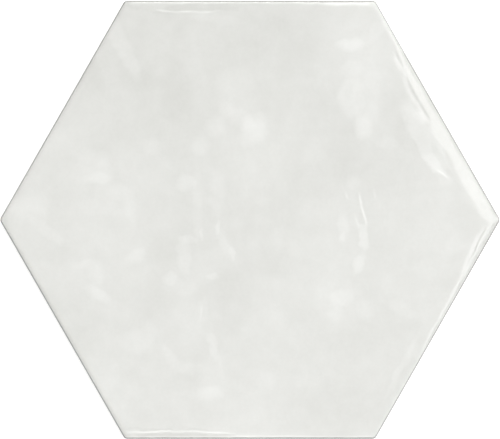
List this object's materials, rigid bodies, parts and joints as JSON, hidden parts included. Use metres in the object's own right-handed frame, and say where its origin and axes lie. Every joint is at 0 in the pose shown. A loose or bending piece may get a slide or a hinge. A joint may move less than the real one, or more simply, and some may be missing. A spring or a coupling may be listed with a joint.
{
  "type": "hexagon floor tile",
  "caption": "Hexagonal glazed ceramic floor tile with a softly waved off-white face, rounded edges and a honeycomb of shallow keys in its back.",
  "frame": {"origin": "centre of the bedding plane, which the ribs of the back stand on", "axes": "+Z out of the glazed face; X through one pair of corners; Y square to one pair of straight edges"},
  "size_m": [0.1994, 0.175, 0.009],
  "materials": {
    "glaze": "glossy off-white glaze over a pale fired body that shows on the side and back"
  },
  "bodies": {
    "root": {"hexagon_tile": "glaze"}
  },
  "joints": []
}
